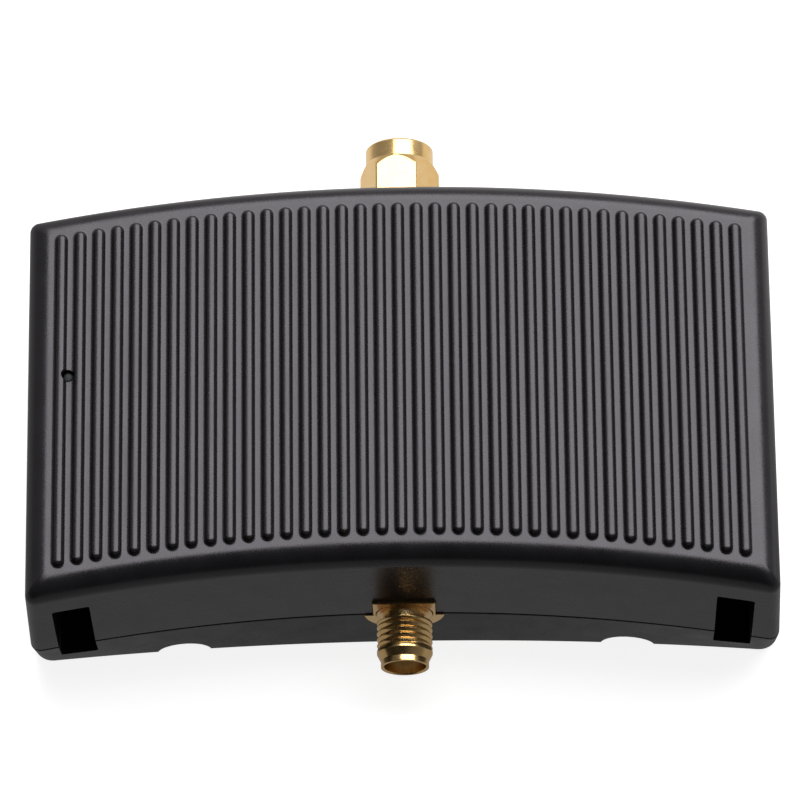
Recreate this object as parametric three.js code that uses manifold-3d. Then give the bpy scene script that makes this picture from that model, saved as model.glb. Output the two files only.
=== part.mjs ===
// In-line cellular signal booster: a curved slab of two shells with a ribbed heat-sink top,
// an SMA jack at the front and an SMA plug with a free coupling nut at the back.
// Millimetres. X is the width, -Y is the front (jack side), +Z is up, and the origin is
// the middle of the flat underside.
import * as THREE from 'three';
import { mergeVertices } from 'three/addons/utils/BufferGeometryUtils.js';
import Module from 'manifold-3d';

const wasm = await Module();
wasm.setup();

// ---- driving dimensions of the case ----------------------------------------------------
const TOTAL_HEIGHT = 25.4;
const RIB_HEIGHT = 0.75;
const TOP_FILLET = 2.5;
const HALF_WIDTH = 41.6;
const HALF_DEPTH = 22.8;
const PLAN_RADIUS = 222;
const CORNER_RADIUS = 1.1;
const FACE_DRAFT = THREE.MathUtils.degToRad(2.8);
const SIDE_DRAFT = THREE.MathUtils.degToRad(1.8);
const PARTING = 8.9;
const SEAM = 0.16;
const WALL = 2.0;
const CEILING = 2.5;
const FLOOR = 1.8;
const BASE_CORNER = 2.2;
const BASE_PLAN_RADIUS = 513;
const INSIDE_CORNER = 1.0;

const RIB_COUNT = 37;
const RIB_PITCH = 2.1;
const RIB_BASE = 1.25;
const RIB_CREST = 0.62;
const RIB_LENGTH = 39.6;
const RIB_MIDDLE = 0.1;
const RIB_ROOT = 0.4;

const SLOT_X = 36.8;
const SLOT_WIDTH = 4.15;
const SLOT_BOTTOM = 4.2;
const SLOT_TOP = 19.2;
const SLOT_END = -15.0;
const SLOT_WALL = 1.2;

const NOTCH_X = 25.15;
const NOTCH_RADIUS = 3.05;
const NOTCH_DEPTH = 2.2;
const NOTCH_BACKING = 1.2;

// Where a screw or a chip stands in plan.
const CASE_SCREWS = [
  [-31, -18.3],
  [31, -18.3],
  [-36, 13],
  [36, 13],
];
const BOARD_SCREWS = [
  [-28, -11],
  [28, -11],
  [-28, 13.5],
  [28, 13.5],
];
const AMPLIFIERS = { uplink: [-13, 2], downlink: [13, 2] };
const SHIELDED_STAGE_Y = -11.2;

const BOSS_RADIUS = 2.8;
const BOSS_PILOT = 1.15;
const BOSS_PILOT_TOP = 19;
const WELL_RADIUS = 3.2;
const HEAD_WELL = 2.6;
const SHANK_HOLE = 1.3;
const STAND_RADIUS = 2.4;
const STAND_PILOT = 0.95;
const STAND_PILOT_FOOT = 2.6;
const ROOTED = 0.5;
const PEDESTAL_HALF = 6;
const PEDESTAL_FOOT = 11.0;

const CASE_SCREW = { head: 2.3, headLow: 2.7, headHigh: 4.5, shank: 1.0, point: 17.5 };
const BOARD_SCREW = { head: 2.0, headHeight: 1.4, shank: 0.8, point: 3.2, hole: 1.2 };
const RECESS = { depth: 0.8, halfWidth: 0.25, reach: 0.55 };

const BOARD_BOTTOM = 7.0;
const BOARD_TOP = 8.6;
const LED_X = -36.95;
const LED_Y = -0.35;
const LED_HOLE = 0.72;
const PIPE = { stem: 0.62, foot: 1.2, bore: 1.35, guide: 1.9, guideFoot: 18, step: 19.6 };
const POWER_X = -20;
const POWER_Z = 12.3;
const POWER_HOLE = 3.15;
const POWER_NOSE = 3.0;
const POWER_NOSE_FACE = 21.2;
const POWER_BORE = 2.0;

// ---- driving dimensions of the connectors ----------------------------------------------
// Distances along a connector are from the middle of the case outwards.
const AXIS_Z = 9.2;
const NECK_RADIUS = 3.13;
const NECK_HOLE = 3.28;
const SEAT_Y = 23.4;
const SEAT_RADIUS = 4.8;
const HEX_FLATS = 8.0;
const HEX_TURN = THREE.MathUtils.degToRad(5);
const FLANGE_FRONT = 21.2;
const FLANGE_BACK = 19.9;
const FLANGE_HALF = 3.5;
const LEG = { end: 16.6, inner: 2.3, outer: 3.3, height: 1.1, gap: 0.02 };
const DIELECTRIC_BORE = 2.1;
const DIELECTRIC = 2.05;
const CONTACT_BORE = 0.7;
const TAIL_RADIUS = 0.5;
const TAIL_END = 15.2;
const JACK_RIM = 30.0;
const JACK_BORE = 2.33;
const JACK_BORE_DEPTH = 1.9;
const NOSE = { radius: 2.7, chamferBack: 28.45, chamferFront: 29.3 };
const RELIEF = { radius: 2.4, back: 23.75, front: 24.8 };
const SOCKET = { radius: 0.62, bore: 0.47, depth: 2.6, slit: 0.06, slitDepth: 2.2 };
const COLLAR = { half: 3.5, round: 4.55, back: 22.65, front: 23.67, bore: 3.2, room: 0.08 };
const WASHER = { radius: 4.0, back: 0.02, front: 0.2 };
const PANEL_NUT = { back: 0.22, front: 1.57, round: 4.8, face: 3.75, chamferFrom: 0.4 };
const NUT_BACK_FACE = SEAT_Y + PANEL_NUT.back;
const NUT_FRONT_FACE = SEAT_Y + PANEL_NUT.front;

const SLEEVE = { neck: 2.5, groove: 2.22, nose: 2.29, shoulder: 28.2, end: 32.0 };
const PIN = { root: 0.64, radius: 0.46, length: 2.0, taper: 0.3 };
const GASKET = { inner: 2.36, outer: 3.0, back: 0.15, front: 0.9 };
const RING = { y: 26.6, inner: 2.27, outer: 2.95, half: 0.24, gap: 0.5 };
const NUT = { back: 25.3, end: 33.3, round: 4.75, waist: 3.9, bore: 3.15, mouth: 3.4 };
const NUT_CONE = { back: 3.7, front: 2.1 };
const NUT_GROOVE = { radius: 3.08, half: 0.45 };
const RUNNING = 0.16;

const ROUND = 24;
const FINE_ROUND = 16;
const SMALL_ROUND = 12;
const PILOT_ROUND = 8;
const ARC_STEPS = 16;
const CORNER_STEPS = 3;
const FILLET_STEPS = 5;
const BEYOND = 2 * HALF_DEPTH;

// ---- materials -----------------------------------------------------------------------
const finish = (color, roughness, metalness) => () =>
  new THREE.MeshStandardMaterial({ color, roughness, metalness });
const blackCast = finish(0x2b2a2c, 0.5, 0.3);
const blackPlastic = finish(0x242426, 0.55, 0);
const boardGreen = finish(0x1d5a34, 0.6, 0);
const chipBlack = finish(0x18181a, 0.6, 0);
const gold = finish(0xe0b050, 0.2, 1);
const tin = finish(0xb9bbbd, 0.35, 1);
const steel = finish(0x8f9195, 0.35, 1);
const ptfe = finish(0xf1efe8, 0.6, 0);
const padGrey = finish(0x8fa0a8, 0.8, 0);
const clear = finish(0xdfe8ea, 0.2, 0);
const redRubber = finish(0xa2402c, 0.7, 0);
const ceramic = finish(0xc9b48c, 0.6, 0);

// ---- solids: three.js shapes joined and cut by manifold-3d ---------------------------
function solid(geometry) {
  const bare = geometry.index ? geometry.toNonIndexed() : geometry.clone();
  bare.deleteAttribute('normal');
  bare.deleteAttribute('uv');
  const merged = mergeVertices(bare, 1e-4);
  const mesh = new wasm.Mesh({
    numProp: 3,
    vertProperties: new Float32Array(merged.attributes.position.array),
    triVerts: new Uint32Array(merged.index.array),
  });
  return new wasm.Manifold(mesh);
}

function geometryOf(body) {
  const mesh = body.getMesh();
  const geometry = new THREE.BufferGeometry();
  geometry.setAttribute('position', new THREE.BufferAttribute(mesh.vertProperties, 3));
  geometry.setIndex(new THREE.BufferAttribute(mesh.triVerts, 1));
  geometry.computeVertexNormals();
  return geometry;
}

// The stretch that reaches half each way from a middle.
const around = (middle, half) => [middle - half, middle + half];

const joined = (bodies) => bodies.reduce((whole, next) => whole.add(next));
const cut = (body, tools) => tools.reduce((rest, tool) => rest.subtract(tool), body);

function block([x0, x1], [y0, y1], [z0, z1]) {
  const geometry = new THREE.BoxGeometry(x1 - x0, y1 - y0, z1 - z0);
  geometry.translate((x0 + x1) / 2, (y0 + y1) / 2, (z0 + z1) / 2);
  return solid(geometry);
}

// A round bar along Z.
function post(x, y, radius, z0, z1, sides = FINE_ROUND) {
  const geometry = new THREE.CylinderGeometry(radius, radius, z1 - z0, sides);
  geometry.rotateX(Math.PI / 2);
  geometry.translate(x, y, (z0 + z1) / 2);
  return solid(geometry);
}

// A round bar along Y.
function bar(x, z, radius, y0, y1, sides = ROUND) {
  const geometry = new THREE.CylinderGeometry(radius, radius, y1 - y0, sides);
  geometry.translate(x, (y0 + y1) / 2, z);
  return solid(geometry);
}

// A turned piece about the connectors' axis. The profile lists [radius, y] pairs and may
// run either way round: its signed area says which way faces out.
function turned(profile, sides = ROUND) {
  const points = profile.map(([radius, y]) => new THREE.Vector2(radius, y));
  if (THREE.ShapeUtils.area(points) < 0) points.reverse();
  const geometry = new THREE.LatheGeometry(points, sides);
  geometry.translate(0, 0, AXIS_Z);
  return solid(geometry);
}

// A flat outline extruded upwards.
function plate(corners, z0, z1) {
  const shape = new THREE.Shape(corners.map(([x, y]) => new THREE.Vector2(x, y)));
  const geometry = new THREE.ExtrudeGeometry(shape, { depth: z1 - z0, bevelEnabled: false });
  geometry.translate(0, 0, z0);
  return solid(geometry);
}

// ---- the curved plan of the case -----------------------------------------------------
// How far the case's centre line bends towards the front at x.
const bend = (x, radius) => Math.sqrt(radius * radius - x * x) - radius;

// The plan outline of one level, anticlockwise from the front left corner.
function outline({ halfWidth, front, back, frontRadius, backRadius, corner }) {
  const points = [];
  const corners = [-1, 1].map((side) => {
    const reach = halfWidth - corner;
    const frontTilt = Math.asin(reach / frontRadius);
    const backTilt = Math.asin(reach / backRadius);
    const frontTouch = reach - corner * Math.sin(frontTilt);
    const backTouch = reach + corner * Math.sin(backTilt);
    return {
      x: side * reach,
      frontY: front + bend(frontTouch, frontRadius) + corner * Math.cos(frontTilt),
      backY: back + bend(backTouch, backRadius) - corner * Math.cos(backTilt),
      frontTilt,
      backTilt,
      frontTouch,
      backTouch,
    };
  });
  const [left, right] = corners;
  const round = (x, y, from, to) => {
    for (let step = 0; step <= CORNER_STEPS; step += 1) {
      const angle = from + ((to - from) * step) / CORNER_STEPS;
      points.push([x + corner * Math.cos(angle), y + corner * Math.sin(angle)]);
    }
  };
  const edge = (from, to, y, radius) => {
    for (let step = 1; step < ARC_STEPS; step += 1) {
      const x = from + ((to - from) * step) / ARC_STEPS;
      points.push([x, y + bend(x, radius)]);
    }
  };
  const quarter = Math.PI / 2;
  round(left.x, left.frontY, -2 * quarter, -quarter + left.frontTilt);
  edge(-left.frontTouch, right.frontTouch, front, frontRadius);
  round(right.x, right.frontY, -quarter - right.frontTilt, 0);
  round(right.x, right.backY, 0, quarter - right.backTilt);
  edge(right.backTouch, -left.backTouch, back, backRadius);
  round(left.x, left.backY, quarter + left.backTilt, 2 * quarter);
  return points;
}

// A closed solid through a stack of outlines, each given as { z, points }.
function lofted(levels) {
  const count = levels[0].points.length;
  const positions = levels.flatMap(({ z, points }) => points.flatMap(([x, y]) => [x, y, z]));
  const index = [];
  for (let level = 0; level + 1 < levels.length; level += 1) {
    for (let i = 0; i < count; i += 1) {
      const a = level * count + i;
      const b = level * count + ((i + 1) % count);
      index.push(a, b, b + count, a, b + count, a + count);
    }
  }
  const lid = (level, flip) => {
    const ring = levels[level].points.map(([x, y]) => new THREE.Vector2(x, y));
    THREE.ShapeUtils.triangulateShape(ring, []).forEach(([a, b, c]) => {
      const base = level * count;
      index.push(base + a, base + (flip ? c : b), base + (flip ? b : c));
    });
  };
  lid(0, true);
  lid(levels.length - 1, false);
  const geometry = new THREE.BufferGeometry();
  geometry.setAttribute('position', new THREE.Float32BufferAttribute(positions, 3));
  geometry.setIndex(index);
  return solid(geometry);
}

const TOP_PLANE = TOTAL_HEIGHT - RIB_HEIGHT;
const SHOULDER = TOP_PLANE - TOP_FILLET;

// The case's outer plan at height z, pulled in by inset all round.
function caseOutline(z, inset, corner = CORNER_RADIUS) {
  const drop = Math.max(SHOULDER - z, 0);
  const half = HALF_DEPTH + drop * Math.tan(FACE_DRAFT) - inset;
  return outline({
    halfWidth: HALF_WIDTH + drop * Math.tan(SIDE_DRAFT) - inset,
    front: -half,
    back: half,
    frontRadius: PLAN_RADIUS,
    backRadius: PLAN_RADIUS,
    corner,
  });
}

// Below the parting line the front edge straightens and the corners round off.
function baseOutline(z, inset) {
  const share = 1 - z / PARTING;
  const drop = SHOULDER - z;
  const half = HALF_DEPTH + drop * Math.tan(FACE_DRAFT) - inset;
  return outline({
    halfWidth: HALF_WIDTH + drop * Math.tan(SIDE_DRAFT) - inset,
    front: -half,
    back: half,
    frontRadius: 1 / ((1 - share) / PLAN_RADIUS + share / BASE_PLAN_RADIUS),
    backRadius: PLAN_RADIUS,
    corner: CORNER_RADIUS + (BASE_CORNER - CORNER_RADIUS) * share,
  });
}

// ---- openings shared by the two shells -----------------------------------------------
const mirrored = (make) => [-1, 1].map(make);
const spanOf = (end, from, to) => [end * from, end * to].sort((a, b) => a - b);

const slotVoids = () =>
  mirrored((side) => {
    const reach = [side * SLOT_X - SLOT_WIDTH / 2, side * SLOT_X + SLOT_WIDTH / 2];
    return block(reach, [-BEYOND, SLOT_END], [SLOT_BOTTOM, SLOT_TOP]);
  });

const slotHousings = () =>
  mirrored((side) => {
    const inner = SLOT_X - SLOT_WIDTH / 2 - SLOT_WALL;
    const reach = side < 0 ? [-2 * SLOT_X, -inner] : [inner, 2 * SLOT_X];
    const height = [SLOT_BOTTOM - SLOT_WALL, SLOT_TOP + SLOT_WALL];
    return block(reach, [-BEYOND, SLOT_END + SLOT_WALL], height);
  });

// The collar's outline as a bar along Y: square above the seam and half-round below it.
function keyed(room, y0, y1) {
  const half = COLLAR.half + room;
  const key = block(around(0, half), [y0, y1], [PARTING - 1, AXIS_Z + half]);
  const lower = block([-BEYOND, BEYOND], [y0, y1], [-BEYOND, PARTING]);
  return key.add(bar(0, AXIS_Z, COLLAR.round + room, y0, y1).intersect(lower));
}

// The jack's neck hole through the front wall, with a keyed pocket for its collar.
function jackSeat() {
  const hole = bar(0, AXIS_Z, NECK_HOLE, -BEYOND, -FLANGE_BACK);
  return hole.add(keyed(COLLAR.room, -BEYOND, COLLAR.room - COLLAR.back));
}

// The plug's neck hole through the back wall, with a flat seat faced round it.
function plugSeat() {
  const hole = bar(0, AXIS_Z, NECK_HOLE, FLANGE_BACK, BEYOND);
  return hole.add(bar(0, AXIS_Z, SEAT_RADIUS, SEAT_Y, BEYOND));
}

// ---- top cover: the finned heat sink ---------------------------------------------------
function rib(x) {
  const middle = RIB_MIDDLE + bend(x, PLAN_RADIUS);
  const level = (z, width) => {
    const radius = width / 2;
    const straight = RIB_LENGTH / 2 - RIB_BASE / 2;
    const points = [];
    [1, -1].forEach((end) => {
      for (let step = 0; step <= CORNER_STEPS; step += 1) {
        const angle = (end > 0 ? 0 : Math.PI) + (Math.PI * step) / CORNER_STEPS;
        const y = middle + end * straight + radius * Math.sin(angle);
        points.push([x + radius * Math.cos(angle), y]);
      }
    });
    return { z, points };
  };
  return lofted([level(TOP_PLANE - RIB_ROOT, RIB_BASE), level(TOTAL_HEIGHT, RIB_CREST)]);
}

function topCover() {
  const levels = [PARTING + SEAM, SHOULDER].map((z) => ({ z, points: caseOutline(z, 0) }));
  for (let step = 1; step <= FILLET_STEPS; step += 1) {
    const angle = (step / FILLET_STEPS) * (Math.PI / 2);
    const inset = TOP_FILLET * (1 - Math.cos(angle));
    const corner = CORNER_RADIUS * (1 - 0.5 * (step / FILLET_STEPS));
    const z = SHOULDER + TOP_FILLET * Math.sin(angle);
    levels.push({ z, points: caseOutline(z, inset, corner) });
  }
  const hollow = lofted(
    [PARTING - 1, TOP_PLANE - CEILING].map((z) => ({
      z,
      points: caseOutline(z, WALL, INSIDE_CORNER),
    })),
  );
  const roof = TOP_PLANE - 1;
  const bosses = CASE_SCREWS.map(([x, y]) => post(x, y, BOSS_RADIUS, PARTING + SEAM, roof));
  const pedestals = Object.values(AMPLIFIERS).map(([x, y]) =>
    block(around(x, PEDESTAL_HALF), around(y, PEDESTAL_HALF), [PEDESTAL_FOOT, roof]),
  );
  const pipeGuide = post(LED_X, LED_Y, PIPE.guide, PIPE.guideFoot, roof);
  const cavity = cut(hollow, [...slotHousings(), ...bosses, ...pedestals, pipeGuide]);
  const ribs = [];
  for (let i = 0; i < RIB_COUNT; i += 1) {
    ribs.push(rib((i - (RIB_COUNT - 1) / 2) * RIB_PITCH));
  }
  const pilots = CASE_SCREWS.map(([x, y]) =>
    post(x, y, BOSS_PILOT, 0, BOSS_PILOT_TOP, PILOT_ROUND),
  );
  const body = joined([cut(lofted(levels), [cavity]), ...ribs]);
  return cut(body, [
    ...slotVoids(),
    ...pilots,
    jackSeat(),
    plugSeat(),
    bar(POWER_X, POWER_Z, POWER_HOLE, 0, BEYOND),
    post(LED_X, LED_Y, LED_HOLE, BOARD_TOP, BEYOND, SMALL_ROUND),
    post(LED_X, LED_Y, PIPE.bore, BOARD_TOP, PIPE.step + RIB_ROOT, SMALL_ROUND),
  ]);
}

// ---- bottom cover ----------------------------------------------------------------------
// Where the front wall's face is at the notches, at the foot.
const NOTCH_FACE = -HALF_DEPTH - SHOULDER * Math.tan(FACE_DRAFT) + bend(NOTCH_X, BASE_PLAN_RADIUS);

// The two half-round notches in the foot of the front wall.
const notches = () =>
  mirrored((side) => bar(side * NOTCH_X, 0, NOTCH_RADIUS, -BEYOND, NOTCH_FACE + NOTCH_DEPTH));

// The solid behind each notch, which keeps the inside closed.
const notchBackings = () =>
  mirrored((side) => {
    const half = NOTCH_RADIUS + NOTCH_BACKING;
    const reach = [-BEYOND, NOTCH_FACE + NOTCH_DEPTH + NOTCH_BACKING];
    return block(around(side * NOTCH_X, half), reach, [0, half]);
  });

function bottomCover() {
  const top = PARTING - SEAM / 2;
  const outer = lofted([0, top].map((z) => ({ z, points: baseOutline(z, 0) })));
  const hollow = lofted([FLOOR, top + 1].map((z) => ({ z, points: baseOutline(z, WALL) })));
  const wells = CASE_SCREWS.map(([x, y]) => post(x, y, WELL_RADIUS, ROOTED, top + ROOTED));
  const stands = BOARD_SCREWS.map(([x, y]) => post(x, y, STAND_RADIUS, ROOTED, BOARD_BOTTOM));
  const cavity = cut(hollow, [...slotHousings(), ...notchBackings(), ...wells, ...stands]);
  const heads = CASE_SCREWS.map(([x, y]) => post(x, y, HEAD_WELL, -1, CASE_SCREW.headHigh));
  const shanks = CASE_SCREWS.map(([x, y]) => post(x, y, SHANK_HOLE, -1, PARTING + 1, PILOT_ROUND));
  const pilots = BOARD_SCREWS.map(([x, y]) =>
    post(x, y, STAND_PILOT, STAND_PILOT_FOOT, PARTING, PILOT_ROUND),
  );
  return cut(outer, [
    cavity,
    ...heads,
    ...shanks,
    ...pilots,
    ...slotVoids(),
    ...notches(),
    jackSeat(),
    plugSeat(),
  ]);
}

// ---- circuit board and what it carries -------------------------------------------------
function circuitBoard() {
  const half = [
    [4.6, -19.7],
    [4.6, -14.8],
    [32, -14.8],
    [32, -6.5],
    [38.6, -6.5],
    [38.6, 6.5],
    [32, 6.5],
    [32, 17.5],
    [4.6, 17.5],
    [4.6, 19.7],
  ];
  const other = half.map(([x, y]) => [-x, y]).reverse();
  const board = plate([...half, ...other], BOARD_BOTTOM, BOARD_TOP);
  return cut(
    board,
    BOARD_SCREWS.map(([x, y]) => post(x, y, BOARD_SCREW.hole, 0, BEYOND, SMALL_ROUND)),
  );
}

// A soldered component: a block standing on the board at x, y.
const chip = (x, y, width, depth, height) =>
  block(around(x, width / 2), around(y, depth / 2), [BOARD_TOP, BOARD_TOP + height]);

// A folded tin can, open underneath.
function shieldCan(x, y, width, depth, height) {
  const sheet = 0.25;
  const inside = chip(x, y, width - 2 * sheet, depth - 2 * sheet, height - sheet);
  return cut(chip(x, y, width, depth, height), [inside, inside.translate([0, 0, -1])]);
}

// A round coil on a square base.
function inductor(x, y, width, height) {
  const base = chip(x, y, width, width, height / 4);
  return base.add(post(x, y, width * 0.42, BOARD_TOP + height / 8, BOARD_TOP + height));
}

// A stepped clear rod from just above the LED to just under the top plane.
function lightPipe() {
  const top = TOP_PLANE - 0.3;
  const stem = post(LED_X, LED_Y, PIPE.stem, PIPE.step - 1, top, SMALL_ROUND);
  return stem.add(post(LED_X, LED_Y, PIPE.foot, BOARD_TOP + 1.5, PIPE.step, SMALL_ROUND));
}

// ---- connectors --------------------------------------------------------------------------
// The square flange behind the wall, with two pairs of earth legs that straddle the board.
function flange(end) {
  const depth = spanOf(end, FLANGE_FRONT, FLANGE_BACK);
  const height = [AXIS_Z - FLANGE_HALF, AXIS_Z + FLANGE_HALF];
  const square = block([-FLANGE_HALF, FLANGE_HALF], depth, height);
  const reach = spanOf(end, FLANGE_BACK, LEG.end);
  const legs = mirrored((side) => {
    const across = spanOf(side, LEG.inner, LEG.outer);
    const upper = block(across, reach, [BOARD_TOP + LEG.gap, BOARD_TOP + LEG.height]);
    const lower = [BOARD_BOTTOM - LEG.height, BOARD_BOTTOM - LEG.gap];
    return upper.add(block(across, reach, lower));
  });
  const bore = bar(0, AXIS_Z, DIELECTRIC_BORE, ...spanOf(end, TAIL_END, BEYOND));
  return cut(joined([square, ...legs]), [bore]);
}

// Profiles are written for the back end; the front end is their mirror image.
const facing = (end, profile) => profile.map(([radius, y]) => [radius, end * y]);

function jackBody() {
  const barrel = facing(-1, [
    [DIELECTRIC_BORE, FLANGE_BACK],
    [NECK_RADIUS, FLANGE_BACK],
    [NECK_RADIUS, RELIEF.back],
    [RELIEF.radius, RELIEF.back],
    [RELIEF.radius, RELIEF.front],
    [NECK_RADIUS, RELIEF.front],
    [NECK_RADIUS, NOSE.chamferBack],
    [NOSE.radius, NOSE.chamferFront],
    [NOSE.radius, JACK_RIM],
    [JACK_BORE, JACK_RIM],
    [JACK_BORE, JACK_RIM - JACK_BORE_DEPTH],
    [DIELECTRIC_BORE, JACK_RIM - JACK_BORE_DEPTH],
    [DIELECTRIC_BORE, FLANGE_BACK],
  ]);
  return flange(-1).add(turned(barrel));
}

function insulator(end, face) {
  return turned(
    facing(end, [
      [CONTACT_BORE, FLANGE_BACK],
      [DIELECTRIC, FLANGE_BACK],
      [DIELECTRIC, face],
      [CONTACT_BORE, face],
      [CONTACT_BORE, FLANGE_BACK],
    ]),
  );
}

// The jack's centre contact: a slit spring socket on a solder tail.
function jackContact() {
  const tip = JACK_RIM - JACK_BORE_DEPTH - 0.15;
  const profile = facing(-1, [
    [0, TAIL_END],
    [TAIL_RADIUS, TAIL_END],
    [TAIL_RADIUS, FLANGE_BACK],
    [SOCKET.radius, FLANGE_BACK],
    [SOCKET.radius, tip],
    [SOCKET.bore, tip],
    [SOCKET.bore, tip - SOCKET.depth],
    [0, tip - SOCKET.depth],
  ]);
  const saw = block(around(0, SOCKET.slit), [-tip - 1, -tip + SOCKET.slitDepth], [0, BEYOND]);
  return cut(turned(profile, SMALL_ROUND), [saw]);
}

// A hexagonal bar along Y, turned so that its corners match on every nut.
function hexagon(y0, y1) {
  const corner = HEX_FLATS / 2 / Math.cos(Math.PI / 6);
  const geometry = new THREE.CylinderGeometry(corner, corner, y1 - y0, 6);
  geometry.rotateY(Math.PI / 6 - HEX_TURN);
  geometry.translate(0, (y0 + y1) / 2, AXIS_Z);
  return solid(geometry);
}

// The jack's collar, keyed into both shells so that the jack cannot turn.
function jackCollar() {
  const bore = bar(0, AXIS_Z, COLLAR.bore, -BEYOND, -FLANGE_BACK);
  return cut(keyed(0, -COLLAR.front, -COLLAR.back), [bore]);
}

// The thin nut that clamps the plug's neck to the wall, chamfered on its outer face.
function plugNut() {
  const chamfer = turned([
    [0, NUT_BACK_FACE],
    [PANEL_NUT.round, NUT_BACK_FACE],
    [PANEL_NUT.round, NUT_BACK_FACE + PANEL_NUT.chamferFrom],
    [PANEL_NUT.face, NUT_FRONT_FACE],
    [0, NUT_FRONT_FACE],
  ]);
  const reach = [FLANGE_BACK, NUT_FRONT_FACE + 1];
  const bore = bar(0, AXIS_Z, NECK_RADIUS + 0.1, ...reach);
  return cut(chamfer.intersect(hexagon(...reach)), [bore]);
}

function plugWasher() {
  const inner = NECK_RADIUS + 0.12;
  return turned([
    [inner, SEAT_Y + WASHER.back],
    [WASHER.radius, SEAT_Y + WASHER.back],
    [WASHER.radius, SEAT_Y + WASHER.front],
    [inner, SEAT_Y + WASHER.front],
    [inner, SEAT_Y + WASHER.back],
  ]);
}

// The plug's sleeve, with a groove for the ring that holds the coupling nut.
function plugBody() {
  const groove = 0.3;
  const sleeve = turned([
    [DIELECTRIC_BORE, FLANGE_BACK],
    [NECK_RADIUS, FLANGE_BACK],
    [NECK_RADIUS, NUT_FRONT_FACE + 0.1],
    [SLEEVE.neck, NUT_FRONT_FACE + 0.1],
    [SLEEVE.neck, RING.y - groove],
    [SLEEVE.groove, RING.y - groove],
    [SLEEVE.groove, RING.y + groove],
    [SLEEVE.neck, RING.y + groove],
    [SLEEVE.neck, SLEEVE.shoulder],
    [SLEEVE.nose, SLEEVE.shoulder + 0.1],
    [SLEEVE.nose, SLEEVE.end],
    [DIELECTRIC_BORE, SLEEVE.end],
    [DIELECTRIC_BORE, FLANGE_BACK],
  ]);
  return flange(1).add(sleeve);
}

function plugPin() {
  const root = SLEEVE.end - PIN.length;
  return turned(
    [
      [0, TAIL_END],
      [TAIL_RADIUS, TAIL_END],
      [TAIL_RADIUS, FLANGE_BACK],
      [PIN.root, FLANGE_BACK],
      [PIN.root, root],
      [PIN.radius, root],
      [PIN.radius, SLEEVE.end - PIN.taper],
      [0, SLEEVE.end],
    ],
    SMALL_ROUND,
  );
}

function plugGasket() {
  const [back, front] = [SLEEVE.shoulder + GASKET.back, SLEEVE.shoulder + GASKET.front];
  return turned([
    [GASKET.inner, back],
    [GASKET.outer, back],
    [GASKET.outer, front],
    [GASKET.inner, front],
    [GASKET.inner, back],
  ]);
}

// A split ring, open underneath.
function retainingRing() {
  const [back, front] = around(RING.y, RING.half);
  const ring = turned([
    [RING.inner, back],
    [RING.outer, back],
    [RING.outer, front],
    [RING.inner, front],
    [RING.inner, back],
  ]);
  return cut(ring, [block(around(0, RING.gap), [FLANGE_BACK, BEYOND], [0, AXIS_Z])]);
}

// The free nut of the plug: hexagonal at the back, round at its mouth.
function couplingNut() {
  const outside = turned([
    [0, NUT.back],
    [4.2, NUT.back],
    [NUT.round, NUT.back + 0.4],
    [NUT.round, NUT.end - NUT_CONE.back],
    [NUT.waist, NUT.end - NUT_CONE.front],
    [NUT.waist, NUT.end - 0.25],
    [NUT.waist - 0.25, NUT.end],
    [0, NUT.end],
  ]);
  const neck = SLEEVE.neck + RUNNING;
  const [grooveBack, grooveFront] = around(RING.y, NUT_GROOVE.half);
  const inside = turned([
    [0, NUT.back - 1],
    [neck, NUT.back - 1],
    [neck, grooveBack],
    [NUT_GROOVE.radius, grooveBack],
    [NUT_GROOVE.radius, grooveFront],
    [neck, grooveFront],
    [neck, SLEEVE.shoulder - 0.5],
    [NUT.bore, SLEEVE.shoulder - 0.1],
    [NUT.bore, NUT.end - 0.3],
    [NUT.mouth, NUT.end],
    [NUT.mouth, NUT.end + 1],
    [0, NUT.end + 1],
  ]);
  return cut(outside.intersect(hexagon(NUT.back - 1, NUT.end + 1)), [inside]);
}

// ---- power inlet in the back wall ----------------------------------------------------------
// A moulded block on the board with a round nose, a bore and room for its spring.
function powerJack() {
  const body = block(around(POWER_X, 4), [8.2, 19.0], [BOARD_TOP, POWER_Z + 3.3]);
  const nose = bar(POWER_X, POWER_Z, POWER_NOSE, 18, POWER_NOSE_FACE);
  const spring = block([POWER_X + 1, POWER_X + 2.6], [10.5, 17.6], around(POWER_Z, 0.7));
  return cut(body.add(nose), [bar(POWER_X, POWER_Z, POWER_BORE, 10.5, BEYOND), spring]);
}

const powerPin = () => bar(POWER_X, POWER_Z, 0.65, 10.6, 19.6, SMALL_ROUND);

const powerSpring = () =>
  block([POWER_X + 2.1, POWER_X + 2.45], [10.8, 17.3], around(POWER_Z, 0.5));

// ---- fasteners -----------------------------------------------------------------------------
// A pan-head screw standing at x, y: driven from the side of its head away from its point.
function screw(x, y, { head, headLow, headHigh, shank, point }) {
  const pointsUp = point > headHigh;
  const [foot, top] = [point, (headLow + headHigh) / 2].sort((a, b) => a - b);
  const body = post(x, y, head, headLow, headHigh).add(post(x, y, shank, foot, top, PILOT_ROUND));
  const depth = pointsUp
    ? [headLow - 1, headLow + RECESS.depth]
    : [headHigh - RECESS.depth, headHigh + 1];
  const arm = head * RECESS.reach;
  return cut(body, [
    block(around(x, arm), around(y, RECESS.halfWidth), depth),
    block(around(x, RECESS.halfWidth), around(y, arm), depth),
  ]);
}

// ---- the assembly ----------------------------------------------------------------------------
const assembly = new THREE.Group();

// Each mesh keeps its geometry about its own middle and is placed by its position.
function place(name, body, material) {
  const geometry = geometryOf(body);
  geometry.computeBoundingBox();
  const middle = geometry.boundingBox.getCenter(new THREE.Vector3());
  middle.set(...middle.toArray().map((value) => Math.round(value)));
  geometry.translate(-middle.x, -middle.y, -middle.z);
  const mesh = new THREE.Mesh(geometry, material());
  mesh.name = name;
  mesh.position.copy(middle);
  assembly.add(mesh);
}

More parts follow.
